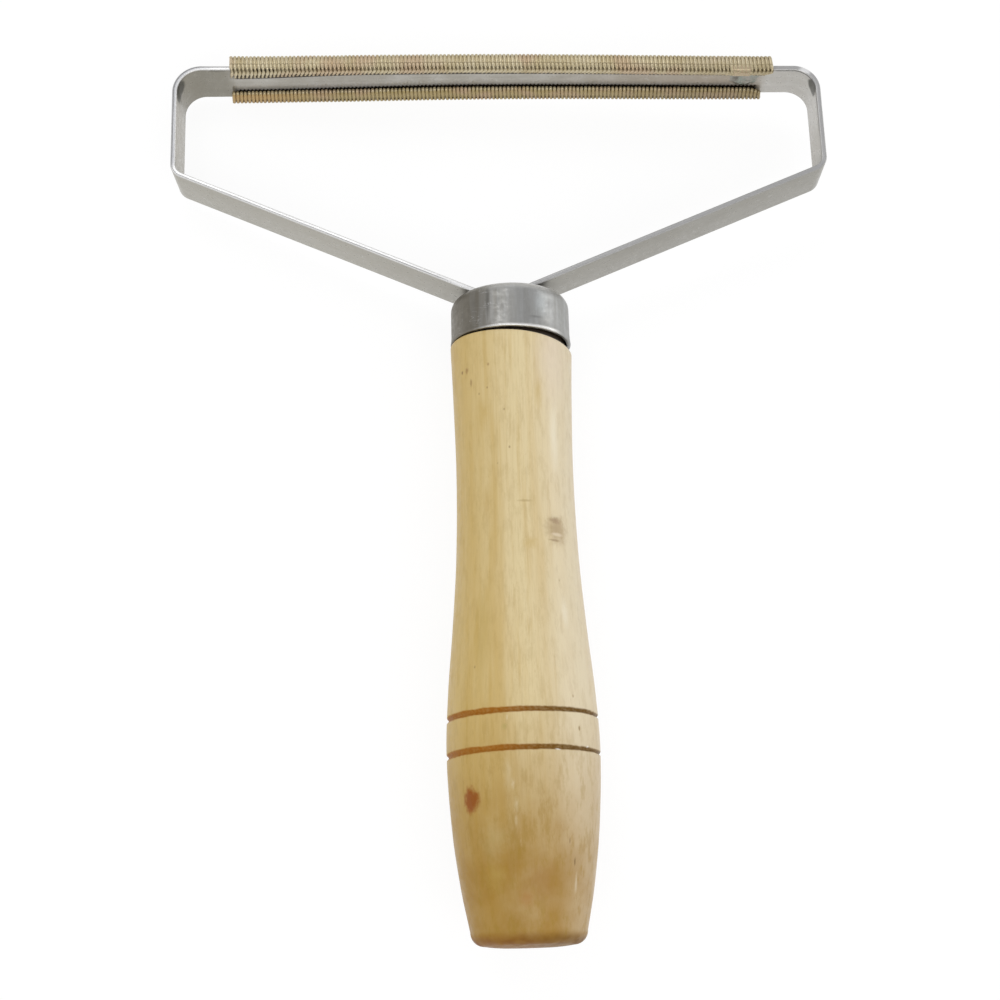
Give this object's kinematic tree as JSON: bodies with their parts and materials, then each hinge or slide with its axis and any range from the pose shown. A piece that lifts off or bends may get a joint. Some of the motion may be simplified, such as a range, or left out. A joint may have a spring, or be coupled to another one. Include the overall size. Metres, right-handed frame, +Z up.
{
  "type": "pet hair lint remover",
  "caption": "Hand scraper for pet hair and lint: a wound brass wire edge on a bent steel strip frame, with a ferrule and a turned wooden handle.",
  "frame": {"origin": "on the table under the middle of the whole tool's box, with the tool lying as it rests", "axes": "+Y along the tool from the butt of the handle to the wire head, +X across the head, +Z up from the table"},
  "size_m": [0.1556, 0.2088, 0.0336],
  "materials": {
    "wood": "pale turned wood with fine grain along the handle under a satin varnish, two scorched grooves",
    "ferrule_steel": "drawn steel, dull grey, lightly scuffed",
    "strip_steel": "bright rolled strip, satin, fine scratches along its length",
    "brass_wire": "drawn brass wire, satin, darker between the turns",
    "solder": "dull grey solder with a faint heat tint"
  },
  "bodies": {
    "root": {"handle": "wood", "ferrule": "ferrule_steel", "strap_frame": "strip_steel", "wire_coil": "brass_wire", "solder_tack": "solder"}
  },
  "joints": []
}
